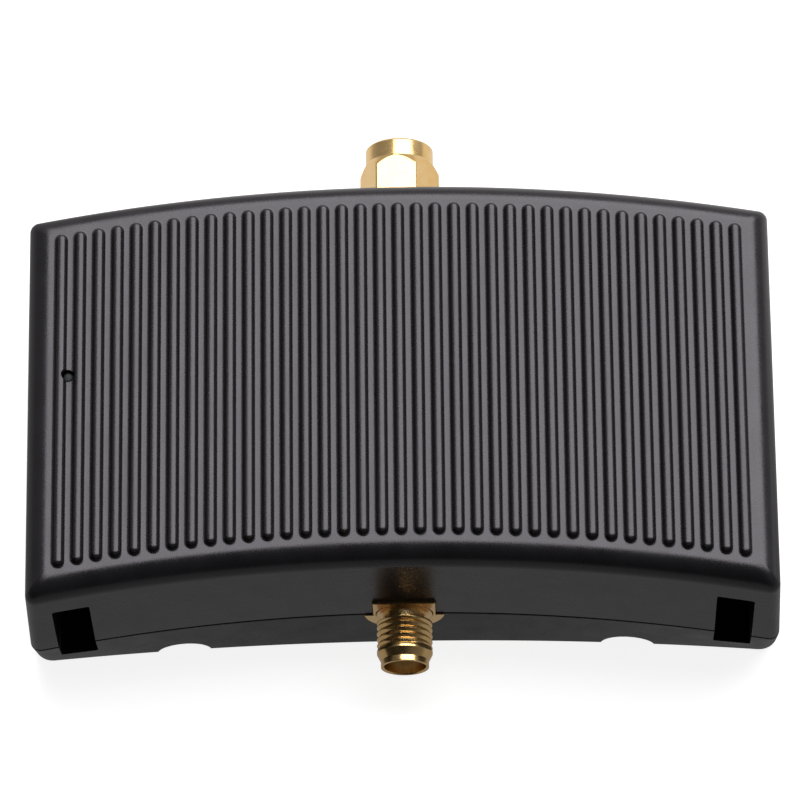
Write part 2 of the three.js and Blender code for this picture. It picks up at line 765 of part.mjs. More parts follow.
place('top_cover', topCover(), blackCast);
place('bottom_cover', bottomCover(), blackPlastic);
place('circuit_board', circuitBoard(), boardGreen);
place('jack_body', jackBody(), gold);
place('jack_insulator', insulator(-1, JACK_RIM - JACK_BORE_DEPTH - 0.1), ptfe);
place('jack_contact', jackContact(), gold);
place('jack_collar', jackCollar(), gold);
place('plug_body', plugBody(), gold);
place('plug_insulator', insulator(1, SLEEVE.end - PIN.length), ptfe);
place('plug_pin', plugPin(), gold);
place('plug_nut', plugNut(), gold);
place('plug_washer', plugWasher(), gold);
place('plug_gasket', plugGasket(), redRubber);
place('retaining_ring', retainingRing(), steel);
place('coupling_nut', couplingNut(), gold);
place('power_jack', powerJack(), chipBlack);
place('power_jack_pin', powerPin(), tin);
place('power_jack_spring', powerSpring(), tin);
place('status_led', chip(LED_X, LED_Y, 3.0, 1.6, 1.1), clear);
place('light_pipe', lightPipe(), clear);
Object.entries(AMPLIFIERS).forEach(([band, [x, y]]) => {
  const thickness = 1.1;
  const pad = [BOARD_TOP + thickness, PEDESTAL_FOOT];
  const stage = y + SHIELDED_STAGE_Y;
  place(`power_amplifier_${band}`, chip(x, y, 7, 7, thickness), chipBlack);
  place(`thermal_pad_${band}`, block(around(x, 4.5), around(y, 4.5), pad), padGrey);
  place(`shield_can_${band}`, shieldCan(x, stage, 13, 9, 2.6), tin);
  place(`gain_stage_${band}`, chip(x, stage, 4, 4, 0.9), chipBlack);
});
place('duplexer_front', chip(0, -11, 7, 5, 1.8), ceramic);
place('duplexer_back', chip(0, 12.5, 7, 5, 1.8), ceramic);
place('control_chip', chip(22.5, 2, 6, 6, 1.0), chipBlack);
place('voltage_regulator', chip(-24, 1.5, 5, 4, 1.2), chipBlack);
place('power_inductor', inductor(-29.5, -4.2, 6, 3.6), chipBlack);
place('input_capacitor', post(-11.5, 13.2, 2.5, BOARD_TOP, BOARD_TOP + 5.4), tin);
place('output_capacitor', post(-23.5, -5.8, 2.0, BOARD_TOP, BOARD_TOP + 5.4), tin);
CASE_SCREWS.forEach(([x, y], i) => {
  place(`case_screw_${i + 1}`, screw(x, y, CASE_SCREW), steel);
});
BOARD_SCREWS.forEach(([x, y], i) => {
  const head = { headLow: BOARD_TOP, headHigh: BOARD_TOP + BOARD_SCREW.headHeight };
  place(`board_screw_${i + 1}`, screw(x, y, { ...BOARD_SCREW, ...head }), steel);
});

export default assembly;
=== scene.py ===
"""Looks of an in-line cellular signal booster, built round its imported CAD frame.

Blender works in metres. The sizes below are in millimetres, in the frame's own axes: X is the width,
-Y is the jack side, +Z is up, and the origin is the middle of the flat underside.
"""

import math

import bmesh
import bpy
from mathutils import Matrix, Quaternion, Vector


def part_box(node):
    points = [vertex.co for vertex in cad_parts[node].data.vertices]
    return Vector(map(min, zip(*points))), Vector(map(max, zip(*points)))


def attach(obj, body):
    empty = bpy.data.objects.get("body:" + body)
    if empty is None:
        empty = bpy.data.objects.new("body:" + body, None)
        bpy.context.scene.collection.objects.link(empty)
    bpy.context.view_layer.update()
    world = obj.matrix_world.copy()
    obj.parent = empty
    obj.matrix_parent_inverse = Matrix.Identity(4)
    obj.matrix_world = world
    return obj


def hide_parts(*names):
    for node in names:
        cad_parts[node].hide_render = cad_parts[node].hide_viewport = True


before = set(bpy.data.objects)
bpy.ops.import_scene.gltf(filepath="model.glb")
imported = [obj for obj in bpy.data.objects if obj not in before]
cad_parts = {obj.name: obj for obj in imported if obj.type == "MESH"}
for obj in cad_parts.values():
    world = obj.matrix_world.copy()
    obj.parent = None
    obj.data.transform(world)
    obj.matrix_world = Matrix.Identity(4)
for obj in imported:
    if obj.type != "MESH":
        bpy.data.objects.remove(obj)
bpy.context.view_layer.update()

MM = 0.001
WELD = 1e-6


def low(node):
    return [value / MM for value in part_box(node)[0]]


def high(node):
    return [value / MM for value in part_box(node)[1]]


def middle(node):
    return [(a + b) / 2 for a, b in zip(low(node), high(node))]


def spot(node):
    """Where a node stands in plan."""
    return middle(node)[:2]


# ---- driving sizes of the case ---------------------------------------------------------------------
TOTAL_HEIGHT = high("top_cover")[2]
COVER_FOOT = low("top_cover")[2]
BASE_TOP = high("bottom_cover")[2]
RIB_HEIGHT = 0.75
TOP_PLANE = TOTAL_HEIGHT - RIB_HEIGHT
TOP_FILLET = 2.5
SHOULDER = TOP_PLANE - TOP_FILLET
HALF_WIDTH = 41.6
HALF_DEPTH = 22.8
PLAN_RADIUS = 222
CORNER_RADIUS = 1.1
FACE_DRAFT = math.tan(math.radians(2.8))
SIDE_DRAFT = math.tan(math.radians(1.8))
PARTING = 8.9
WALL = 2.0
CEILING = 2.5
FLOOR = 1.8
BASE_CORNER = 2.2
BASE_PLAN_RADIUS = 513
BASE_EDGE = 0.7
SEAM_EDGE = 0.14
REBATE = 0.85
REBATE_HEIGHT = 0.8
LIP_OUTSIDE = 0.95
LIP_INSIDE = 1.75
LIP_HEIGHT = 0.7
LIP_EDGE = 0.1
BASE_LEDGE = 0.4
ARC_STEPS = 96
CORNER_STEPS = 8
FILLET_STEPS = 12
BASE_EDGE_STEPS = 5

RIB_COUNT = 37
RIB_PITCH = 2.1
RIB_LENGTH = 39.6
RIB_MIDDLE = 0.10
RIB_BASE = 1.25
RIB_END_STEPS = 12
# Height above the top plane and half the width there.
RIB_PROFILE = [
    (-0.30, 0.95),
    (0.000, 0.92),
    (0.012, 0.80),
    (0.035, 0.71),
    (0.07, 0.65),
    (0.14, 0.60),
    (0.26, 0.55),
    (0.42, 0.50),
    (0.56, 0.45),
    (0.64, 0.41),
    (0.69, 0.35),
    (0.722, 0.25),
    (0.743, 0.13),
    (0.75, 0.03),
]

SLOT_WALL = 1.2
SLOT_X = 36.8
SLOT_WIDTH = 4.15
SLOT_BOTTOM = 4.2
SLOT_TOP = 19.2
SLOT_END = -15.0
SLOT_EASE = 0.3
NOTCH_X = 25.15
NOTCH_RADIUS = 3.05
NOTCH_DEPTH = 2.2
NOTCH_BACKING = 1.2

# ---- driving sizes of the inside -------------------------------------------------------------------
CEILING_ROOT = TOP_PLANE - 1
CAVITY_CORNER = 1.2
HOUSING_ROOM = 0.15
BOSS_RADIUS = 2.8
BOSS_PILOT = 1.15
BOSS_PILOT_TOP = 19
WELL_RADIUS = 3.2
WELL_FOOT = 0.5
HEAD_WELL = 2.6
HEAD_WELL_MOUTH = 2.75
HEAD_WELL_TOP = 4.5
SHANK_HOLE = 1.3
STAND_RADIUS = 2.4
STAND_PILOT = 0.95
STAND_PILOT_FOOT = 2.6
PEDESTAL_HALF = 6
PIPE_GUIDE = 1.9
PIPE_BORE = 1.35
PIPE_BORE_TOP = 20
LED_HOLE = 0.72
POWER_HOLE = 3.15

# ---- driving sizes of the connectors ----------------------------------------------------------------
AXIS_Z = middle("coupling_nut")[2]
HEX_FLATS = 8.0
HEX_TURN = math.radians(5)
SEAT_Y = 23.4
SEAT_RADIUS = 4.8
NECK_RADIUS = 3.13
NECK_HOLE = 3.28
NECK_HOLE_END = SEAT_Y - 4
THREAD_PITCH = 0.7056
THREAD_DEPTH = 0.27
RIM = -low("jack_body")[1]
JACK_BORE = 2.33
JACK_BORE_DEPTH = 1.9
NOSE_RADIUS = 2.7
NOSE_CHAMFER = (28.45, 29.3)
RELIEF_RADIUS = 2.4
RELIEF_SPAN = (23.75, 24.8)
COLLAR_BACK = -high("jack_collar")[1]
COLLAR_FRONT = -low("jack_collar")[1]
COLLAR_HALF = high("jack_collar")[2] - AXIS_Z
COLLAR_ROUND = high("jack_collar")[0]
COLLAR_BORE = 3.2
COLLAR_ROOM = 0.08
COLLAR_EASE = 0.12
DIELECTRIC_BORE = 2.1
BORE_END = 14
FLANGE = 21.2
FLANGE_BACK = 19.9
LEG_END = 16.6
LEG_SPAN = (2.3, 3.3)
LEG_THICKNESS = 1.1
LEG_GAP = 0.02
CONTACT_RADIUS = 0.5
INSULATOR_BORE = 0.7
TURNED_SIDES = 96
KEYED_STEPS = 48

LED_X, LED_Y = spot("light_pipe")
POWER_X = middle("power_jack_pin")[0]
POWER_Z = middle("power_jack_pin")[2]
CASE_SCREWS = [f"case_screw_{i}" for i in range(1, 5)]
BOARD_SCREWS = [f"board_screw_{i}" for i in range(1, 5)]
AMPLIFIERS = ["power_amplifier_uplink", "power_amplifier_downlink"]


# ---- mesh building ----------------------------------------------------------------------------------
def closed_mesh(name, points, faces):
    """A closed mesh from points in millimetres: welded, its open ends capped, its faces turned outwards."""
    mesh = bpy.data.meshes.new(name)
    mesh.from_pydata([(x * MM, y * MM, z * MM) for x, y, z in points], [], faces)
    bm = bmesh.new()
    bm.from_mesh(mesh)
    bmesh.ops.remove_doubles(bm, verts=bm.verts, dist=WELD)
    bmesh.ops.dissolve_degenerate(bm, edges=bm.edges, dist=WELD / 10)
    rims = [edge for edge in bm.edges if edge.is_boundary]
    if rims:
        bmesh.ops.holes_fill(bm, edges=rims, sides=0)
    bmesh.ops.recalc_face_normals(bm, faces=bm.faces)
    bm.to_mesh(mesh)
    bm.free()
    piece = bpy.data.objects.new(name, mesh)
    bpy.context.scene.collection.objects.link(piece)
    return piece


def stacked(name, rings, loop=False):
    """A solid through equal rings of points. With loop, the last ring joins the first one."""
    count = len(rings[0])
    points = [point for ring in rings for point in ring]
    faces = []
    for level in range(len(rings) if loop else len(rings) - 1):
        here, there = level * count, (level + 1) % len(rings) * count
        for i in range(count):
            j = (i + 1) % count
            faces.append((here + i, here + j, there + j, there + i))
    return closed_mesh(name, points, faces)


def about_y(x, z):
    return lambda radius, angle, along: (x + radius * math.cos(angle), along, z + radius * math.sin(angle))


def about_z(x, y):
    return lambda radius, angle, along: (x + radius * math.cos(angle), y + radius * math.sin(angle), along)


CONNECTOR = about_y(0, AXIS_Z)


def turned(name, profile, place=CONNECTOR, sides=TURNED_SIDES, loop=False):
    """A lathe-turned solid. The profile lists (radius, distance along); with loop it closes on itself."""
    turn = 2 * math.pi / sides
    rings = [[place(radius, turn * i, along) for i in range(sides)] for radius, along in profile]
    return stacked(name, rings, loop)


def eased(points, size, closed=False, steps=3):
    """The outline with each of its corners rounded off over size."""
    result = []
    count = len(points)
    for i, point in enumerate(points):
        if not closed and i in (0, count - 1):
            result.append(point)
            continue
        corner = Vector(point)
        before = Vector(points[i - 1]) - corner
        after = Vector(points[(i + 1) % count]) - corner
        start = corner + before.normalized() * min(size, before.length * 0.45)
        end = corner + after.normalized() * min(size, after.length * 0.45)
        for step in range(steps + 1):
            share = step / steps
            bent = start * (1 - share) ** 2 + corner * (2 * share * (1 - share)) + end * share**2
            result.append(tuple(bent))
    return result


def box_solid(name, x, y, z):
    corners = [(x[0], y[0]), (x[1], y[0]), (x[1], y[1]), (x[0], y[1])]
    return stacked(name, [[(a, b, level) for a, b in corners] for level in z])


def post(name, x, y, radius, z, sides=48):
    return turned(name, [(radius, z[0]), (radius, z[1])], about_z(x, y), sides)


def combine(piece, operation, *tools):
    """Joins, cuts or intersects the piece with the tools, which are used up."""
    for tool in tools:
        step = piece.modifiers.new(tool.name, "BOOLEAN")
        step.operation = operation
        step.solver = "MANIFOLD"
        step.object = tool
    graph = bpy.context.evaluated_depsgraph_get()
    piece.data = bpy.data.meshes.new_from_object(piece.evaluated_get(graph))
    piece.modifiers.clear()
    for tool in tools:
        bpy.data.objects.remove(tool)
    return piece


def gathered(name, solids):
    """Separate solids as one object."""
    bm = bmesh.new()
    for solid in solids:
        bm.from_mesh(solid.data)
        bpy.data.objects.remove(solid)
    mesh = bpy.data.meshes.new(name)
    bm.to_mesh(mesh)
    bm.free()
    piece = bpy.data.objects.new(name, mesh)
    bpy.context.scene.collection.objects.link(piece)
    return piece


def threaded(name, crest, depth, start, end, pitch, place=CONNECTOR, sides=TURNED_SIDES, steps=8):
    """A closed bar with a screw thread that runs out at both ends."""
    runout = pitch * 0.6
    points = []
    rows = math.ceil((end - start) / pitch * steps) + steps
    for row in range(rows + 1):
        phase = (row % steps) / steps
        vee = min(max((abs(2 * phase - 1) - 0.15) / 0.7, 0), 1)
        for i in range(sides + 1):
            along = start + pitch * (row / steps + i / sides - 1)
            along = min(max(along, start), end)
            fade = min((along - start) / runout, (end - along) / runout, 1)
            radius = crest - depth * vee * fade * fade * (3 - 2 * fade)
            points.append(place(radius, 2 * math.pi * i / sides, along))
    width = sides + 1
    faces = []
    for row in range(rows):
        for i in range(sides):
            a = row * width + i
            faces.append((a, a + 1, a + 1 + width, a + width))
    return closed_mesh(name, points, faces)


# ---- the curved plan of the case --------------------------------------------------------------------
def bend(x, radius):
    """How far the case's centre line curves towards the front at x."""
    return math.sqrt(radius * radius - x * x) - radius


def outline(half_width, half, front_radius, corner):
    """The plan of one level, anticlockwise from the front left corner."""
    reach = half_width - corner
    front_tilt = math.asin(reach / front_radius)
    back_tilt = math.asin(reach / PLAN_RADIUS)
    front_touch = reach - corner * math.sin(front_tilt)
    back_touch = reach + corner * math.sin(back_tilt)
    front_y = -half + bend(front_touch, front_radius) + corner * math.cos(front_tilt)
    back_y = half + bend(back_touch, PLAN_RADIUS) - corner * math.cos(back_tilt)
    points = []

    def corner_arc(x, y, start, end):
        for step in range(CORNER_STEPS + 1):
            angle = start + (end - start) * step / CORNER_STEPS
            points.append((x + corner * math.cos(angle), y + corner * math.sin(angle)))

    def long_arc(start, end, y, radius):
        for step in range(1, ARC_STEPS):
            x = start + (end - start) * step / ARC_STEPS
            points.append((x, y + bend(x, radius)))

    quarter = math.pi / 2
    corner_arc(-reach, front_y, -2 * quarter, -quarter + front_tilt)
    long_arc(-front_touch, front_touch, -half, front_radius)
    corner_arc(reach, front_y, -quarter - front_tilt, 0)
    corner_arc(reach, back_y, 0, quarter - back_tilt)
    long_arc(back_touch, -back_touch, half, PLAN_RADIUS)
    corner_arc(-reach, back_y, quarter + back_tilt, 2 * quarter)
    return points


def case_ring(z, inset=0.0, corner=CORNER_RADIUS):
    """The case's plan at height z, pulled in by inset all round."""
    drop = max(SHOULDER - z, 0)
    width = HALF_WIDTH + drop * SIDE_DRAFT - inset
    half = HALF_DEPTH + drop * FACE_DRAFT - inset
    return [(x, y, z) for x, y in outline(width, half, PLAN_RADIUS, corner)]


def base_ring(z, inset=0.0):
    """The same below the parting line, where the front edge straightens and the corners round off."""
    share = max(1 - z / PARTING, 0)
    drop = SHOULDER - z
    width = HALF_WIDTH + drop * SIDE_DRAFT - inset
    half = HALF_DEPTH + drop * FACE_DRAFT - inset
    radius = 1 / ((1 - share) / PLAN_RADIUS + share / BASE_PLAN_RADIUS)
    corner = CORNER_RADIUS + (BASE_CORNER - CORNER_RADIUS) * share
    return [(x, y, z) for x, y in outline(width, half, radius, corner)]


# ---- openings the two shells share ------------------------------------------------------------------
def slot_voids():
    """The two bracket slots beside the front corners, with softly rounded corners."""
    voids = []
    for side in (-1, 1):
        x = (side * SLOT_X - SLOT_WIDTH / 2, side * SLOT_X + SLOT_WIDTH / 2)
        corners = [(x[0], SLOT_BOTTOM), (x[1], SLOT_BOTTOM), (x[1], SLOT_TOP), (x[0], SLOT_TOP)]
        section = eased(corners, SLOT_EASE, closed=True)
        rings = [[(a, y, b) for a, b in section] for y in (-2 * HALF_DEPTH, SLOT_END)]
        voids.append(stacked("slot_void", rings))
    return voids


def slot_housings(grow=0.0, bottom=SLOT_BOTTOM - SLOT_WALL):
    """The solid pockets round the slots, which keep the inside closed."""
    inner = SLOT_X - SLOT_WIDTH / 2 - SLOT_WALL - grow
    z = (bottom, SLOT_TOP + SLOT_WALL + grow)
    y = (-2 * HALF_DEPTH, SLOT_END + SLOT_WALL + grow)
    spans = [(-2 * SLOT_X, -inner), (inner, 2 * SLOT_X)]
    return [box_solid("slot_housing", x, y, z) for x in spans]


def keyed(name, room, back, front):
    """The collar's outline as a bar: square above the seam and half-round below it."""
    half = COLLAR_HALF + room
    radius = COLLAR_ROUND + room
    corners = [(half, PARTING), (half, AXIS_Z + half), (-half, AXIS_Z + half), (-half, PARTING)]
    lip = math.asin((PARTING - AXIS_Z) / radius)
    for step in range(KEYED_STEPS + 1):
        angle = math.pi - lip + (math.pi + 2 * lip) * step / KEYED_STEPS
        corners.append((radius * math.cos(angle), AXIS_Z + radius * math.sin(angle)))
    section = eased(corners, COLLAR_EASE, closed=True, steps=2)
    return stacked(name, [[(x, y, z) for x, z in section] for y in (-front, -back)])


def connector_seats():
    """The neck hole and keyed pocket in the front wall, and the neck hole and seat in the back wall."""
    outside = 2 * HALF_DEPTH
    return [
        turned("neck_hole", [(NECK_HOLE, -outside), (NECK_HOLE, -NECK_HOLE_END)]),
        keyed("collar_pocket", COLLAR_ROOM, COLLAR_BACK - COLLAR_ROOM, outside),
        turned("neck_hole", [(NECK_HOLE, NECK_HOLE_END), (NECK_HOLE, outside)]),
        turned("seat", [(SEAT_RADIUS, SEAT_Y), (SEAT_RADIUS, outside)]),
    ]


def power_hole():
    return turned("power_hole", [(POWER_HOLE, 10), (POWER_HOLE, 30)], about_y(POWER_X, POWER_Z), 64)


# ---- the shells -------------------------------------------------------------------------------------
def rib(x):
    """One cooling rib: a drafted bar with round ends, a rounded crest and a small fillet at its root."""
    centre = RIB_MIDDLE + bend(x, PLAN_RADIUS)
    straight = (RIB_LENGTH - RIB_BASE) / 2
    rings = []
    for height, half in RIB_PROFILE:
        ring = []
        for end in (1, -1):
            for step in range(RIB_END_STEPS + 1):
                angle = (0 if end > 0 else math.pi) + math.pi * step / RIB_END_STEPS
                y = centre + end * straight + half * math.sin(angle)
                ring.append((x + half * math.cos(angle), y, TOP_PLANE + height))
        rings.append(ring)
    return stacked("rib", rings)


def seam_edge(z, way):
    """Levels that round the edge of a shell at the parting line: (height, inset) away from z."""
    edge = SEAM_EDGE
    return [(z, edge), (z + way * edge * 0.3, edge * 0.3), (z + way * edge, 0)]


def cover_shell():
    rings = [case_ring(z, inset) for z, inset in seam_edge(COVER_FOOT, 1)]
    rings.append(case_ring(SHOULDER))
    for step in range(1, FILLET_STEPS + 1):
        angle = math.pi / 2 * step / FILLET_STEPS
        inset = TOP_FILLET * (1 - math.cos(angle))
        corner = CORNER_RADIUS * (1 - step / FILLET_STEPS / 2)
        z = SHOULDER + TOP_FILLET * math.sin(angle)
        rings.append([(x, y, z) for x, y, _ in case_ring(SHOULDER, inset, corner)])
    shell = stacked("cover_shell", rings)
    ledge = COVER_FOOT + REBATE_HEIGHT
    levels = [(COVER_FOOT - 1, REBATE), (ledge, REBATE), (ledge, WALL), (TOP_PLANE - CEILING, WALL)]
    cavity = stacked("cavity", [case_ring(z, inset, CAVITY_CORNER) for z, inset in levels])
    keep = slot_housings()
    for name in CASE_SCREWS:
        x, y = spot(name)
        keep.append(post("boss", x, y, BOSS_RADIUS, (COVER_FOOT, CEILING_ROOT)))
    for name in AMPLIFIERS:
        x, y = spot(name)
        z = (high(name.replace("power_amplifier", "thermal_pad"))[2], CEILING_ROOT)
        sides = [(a - PEDESTAL_HALF, a + PEDESTAL_HALF) for a in (x, y)]
        keep.append(box_solid("pedestal", *sides, z))
    keep.append(post("pipe_guide", LED_X, LED_Y, PIPE_GUIDE, (PIPE_BORE_TOP - 2, CEILING_ROOT)))
    combine(cavity, "DIFFERENCE", *keep)
    pilots = []
    for name in CASE_SCREWS:
        x, y = spot(name)
        pilots.append(post("pilot", x, y, BOSS_PILOT, (0, BOSS_PILOT_TOP), 24))
    first = -(RIB_COUNT - 1) / 2 * RIB_PITCH
    ribs = gathered("ribs", [rib(first + i * RIB_PITCH) for i in range(RIB_COUNT)])
    combine(shell, "UNION", ribs)
    tools = [cavity, *slot_voids(), *pilots, *connector_seats(), power_hole()]
    tools.append(post("led_hole", LED_X, LED_Y, LED_HOLE, (PIPE_BORE_TOP - MM, 30)))
    tools.append(post("pipe_bore", LED_X, LED_Y, PIPE_BORE, (10, PIPE_BORE_TOP)))
    return combine(shell, "DIFFERENCE", *tools)


def notch_face():
    """Where the front wall's face is at the notches, at the foot."""
    return -HALF_DEPTH - SHOULDER * FACE_DRAFT + bend(NOTCH_X, BASE_PLAN_RADIUS)


def notches():
    """The two half-round notches in the foot of the front wall."""
    depth = [(NOTCH_RADIUS, notch_face() - 2), (NOTCH_RADIUS, notch_face() + NOTCH_DEPTH)]
    return [turned("notch", depth, about_y(side * NOTCH_X, 0), 64) for side in (-1, 1)]


def notch_backings():
    """The solid behind each notch, which keeps the inside closed."""
    half = NOTCH_RADIUS + NOTCH_BACKING
    y = (notch_face() - 2, notch_face() + NOTCH_DEPTH + NOTCH_BACKING)
    spans = [(side * NOTCH_X - half, side * NOTCH_X + half) for side in (-1, 1)]
    return [box_solid("notch_backing", x, y, (0, half)) for x in spans]


def base_shell():
    rings = []
    for step in range(BASE_EDGE_STEPS + 1):
        angle = math.pi / 2 * step / BASE_EDGE_STEPS
        rings.append(base_ring(BASE_EDGE * (1 - math.cos(angle)), BASE_EDGE * (1 - math.sin(angle))))
    rings += [base_ring(z, inset) for z, inset in reversed(seam_edge(BASE_TOP, -1))]
    lip_top = BASE_TOP + LIP_HEIGHT
    rings += [
        base_ring(BASE_TOP, LIP_OUTSIDE),
        base_ring(lip_top - LIP_EDGE, LIP_OUTSIDE),
        base_ring(lip_top, LIP_OUTSIDE + LIP_EDGE),
    ]
    shell = stacked("base_shell", rings)
    ledge = BASE_TOP - BASE_LEDGE
    levels = [(FLOOR, WALL), (ledge, WALL), (ledge, LIP_INSIDE), (lip_top + 1, LIP_INSIDE)]
    cavity = stacked("cavity", [base_ring(z, inset) for z, inset in levels])
    keep = slot_housings() + notch_backings()
    for name in CASE_SCREWS:
        x, y = spot(name)
        keep.append(post("well", x, y, WELL_RADIUS, (WELL_FOOT, BASE_TOP)))
    for name in BOARD_SCREWS:
        x, y = spot(name)
        keep.append(post("stand", x, y, STAND_RADIUS, (WELL_FOOT, low("circuit_board")[2])))
    combine(cavity, "DIFFERENCE", *keep)
    tools = [cavity, *slot_housings(HOUSING_ROOM, BASE_TOP), *slot_voids(), *notches()]
    tools += [*connector_seats(), power_hole()]
    for name in CASE_SCREWS:
        x, y = spot(name)
        profile = [(HEAD_WELL_MOUTH, -1), (HEAD_WELL_MOUTH, 0), (HEAD_WELL, HEAD_WELL_MOUTH - HEAD_WELL)]
        profile.append((HEAD_WELL, HEAD_WELL_TOP))
        tools.append(turned("head_well", profile, about_z(x, y), 64))
        tools.append(post("shank_hole", x, y, SHANK_HOLE, (HEAD_WELL_TOP - 0.5, BASE_TOP + 1), 32))
    for name in BOARD_SCREWS:
        x, y = spot(name)
        tools.append(post("pilot", x, y, STAND_PILOT, (STAND_PILOT_FOOT, BASE_TOP), 24))
    return combine(shell, "DIFFERENCE", *tools)


# ---- connectors --------------------------------------------------------------------------------------
def hexagon(name, start, end):
    """A hexagonal bar along the connectors' axis, with eased corners."""
    corner = HEX_FLATS / 2 / math.cos(math.pi / 6)
    turns = [HEX_TURN + math.pi / 3 * i for i in range(6)]
    section = eased([(corner * math.cos(a), corner * math.sin(a)) for a in turns], 0.16, closed=True)
    return stacked(name, [[(x, y, AXIS_Z + z) for x, z in section] for y in (start, end)])


def bored(piece, profile):
    return combine(piece, "DIFFERENCE", turned("bore", profile))


def collar():
    """The jack's collar: keyed into both shells, its front edge eased."""
    ease = 0.06
    plate = keyed("collar_turned", 0, COLLAR_BACK, COLLAR_FRONT - ease)
    face = keyed("collar_face", -ease, COLLAR_FRONT - 2 * ease, COLLAR_FRONT)
    combine(plate, "UNION", face)
    bore = [(COLLAR_BORE, COLLAR_BACK - 1), (COLLAR_BORE, COLLAR_FRONT - 0.08)]
    bore.append((COLLAR_BORE + 0.12, COLLAR_FRONT + 0.04))
    return bored(plate, [(radius, -y) for radius, y in bore])


def panel_nut():
    """The thin nut that clamps the plug's neck to the wall, chamfered on its outer face."""
    back, front = low("plug_nut")[1], high("plug_nut")[1]
    outer, face, bore_radius = 4.8, 3.75, NECK_RADIUS + 0.07
    blank = [(0, back), (outer - 0.25, back), (outer, back + 0.1), (outer, back + 0.4)]
    blank += [(face, front), (0, front)]
    nut = turned("plug_nut_turned", eased(blank, 0.05))
    combine(nut, "INTERSECT", hexagon("hexagon", back - 1, front + 1))
    bore = [(NECK_RADIUS + 0.35, back - 1), (bore_radius, back + 0.2)]
    bore += [(bore_radius, front - 0.22), (NECK_RADIUS + 0.45, front + 0.2)]
    return bored(nut, bore)


def ring_section(node, inner):
    """The square section of a turned ring, whose outside and ends are its CAD node's."""
    start, end = low(node)[1], high(node)[1]
    outer = high(node)[0]
    return [(inner, start), (outer, start), (outer, end), (inner, end)]


def panel_washer():
    section = ring_section("plug_washer", NECK_RADIUS + 0.12)
    return turned("plug_washer_turned", eased(section, 0.05, closed=True), loop=True)


def flange(end):
    """The square flange behind the wall, with two pairs of earth legs that straddle the board."""
    node = "jack_body" if end < 0 else "plug_body"
    half = high(node)[0]
    board = (low("circuit_board")[2], high("circuit_board")[2])
    corners = [(-half, AXIS_Z - half), (half, AXIS_Z - half), (half, AXIS_Z + half), (-half, AXIS_Z + half)]
    section = eased(corners, 0.4, closed=True)
    plate = stacked("flange", [[(x, end * y, z) for x, z in section] for y in (FLANGE_BACK, FLANGE)])
    legs = []
    for side in (-1, 1):
        x = sorted(side * edge for edge in LEG_SPAN)
        y = sorted([end * LEG_END, end * (FLANGE_BACK + 0.2)])
        legs.append(box_solid("leg", x, y, (board[1] + LEG_GAP, board[1] + LEG_THICKNESS)))
        legs.append(box_solid("leg", x, y, (board[0] - LEG_THICKNESS, board[0] - LEG_GAP)))
    return combine(plate, "UNION", *legs)


def jack_barrel():
    """The jack's body: a neck with a relief, a threaded barrel, a plain nose and a counterbored mouth."""
    relief_back, relief_front = RELIEF_SPAN
    chamfer_back, chamfer_front = NOSE_CHAMFER
    thread_end = chamfer_back - 0.3
    barrel = threaded("jack_barrel", NECK_RADIUS, THREAD_DEPTH, -thread_end, -relief_front, THREAD_PITCH)
    nose = [(0, thread_end - 0.02), (NECK_RADIUS, thread_end - 0.02), (NECK_RADIUS, chamfer_back)]
    nose += [(NOSE_RADIUS, chamfer_front), (NOSE_RADIUS, RIM), (0, RIM)]
    neck = [(0, FLANGE_BACK), (NECK_RADIUS, FLANGE_BACK), (NECK_RADIUS, relief_back)]
    neck += [(RELIEF_RADIUS, relief_back), (RELIEF_RADIUS, relief_front + 0.3), (0, relief_front + 0.3)]
    profiles = [eased(nose, 0.06), eased(neck, 0.06)]
    parts = [turned("part", [(radius, -y) for radius, y in profile]) for profile in profiles]
    combine(barrel, "UNION", *parts, flange(-1))
    floor_y = RIM - JACK_BORE_DEPTH
    bore = [(0, BORE_END), (DIELECTRIC_BORE, BORE_END), (DIELECTRIC_BORE, floor_y), (JACK_BORE, floor_y)]
    bore += [(JACK_BORE, RIM - 0.12), (JACK_BORE + 0.3, RIM + 0.18), (0, RIM + 0.18)]
    return bored(barrel, [(radius, -y) for radius, y in bore])


def plug_sleeve():
    """The plug's body: a turned sleeve with a groove for the retaining ring."""
    node = "plug_body"
    end = high(node)[1]
    ring = middle("retaining_ring")[1]
    nut_face = high("plug_nut")[1] + 0.1
    shoulder = low("plug_gasket")[1] - 0.15
    outer, groove, tip, half_groove = 2.5, 2.22, 2.29, 0.3
    profile = [
        (0, FLANGE_BACK),
        (NECK_RADIUS, FLANGE_BACK),
        (NECK_RADIUS, nut_face),
        (outer, nut_face),
        (outer, ring - half_groove),
        (groove, ring - half_groove),
        (groove, ring + half_groove),
        (outer, ring + half_groove),
        (outer, shoulder),
        (tip, shoulder + 0.1),
        (tip, end),
        (0, end),
    ]
    sleeve = turned("plug_sleeve", eased(profile, 0.08))
    combine(sleeve, "UNION", flange(1))
    bore = [(0, BORE_END), (DIELECTRIC_BORE, BORE_END), (DIELECTRIC_BORE, end - 0.1)]
    bore += [(DIELECTRIC_BORE + 0.1, end + 0.1), (0, end + 0.1)]
    return bored(sleeve, bore)


def insulator(node, name):
    section = ring_section(node, INSULATOR_BORE)
    return turned(name, eased(section, 0.08, closed=True), sides=64, loop=True)


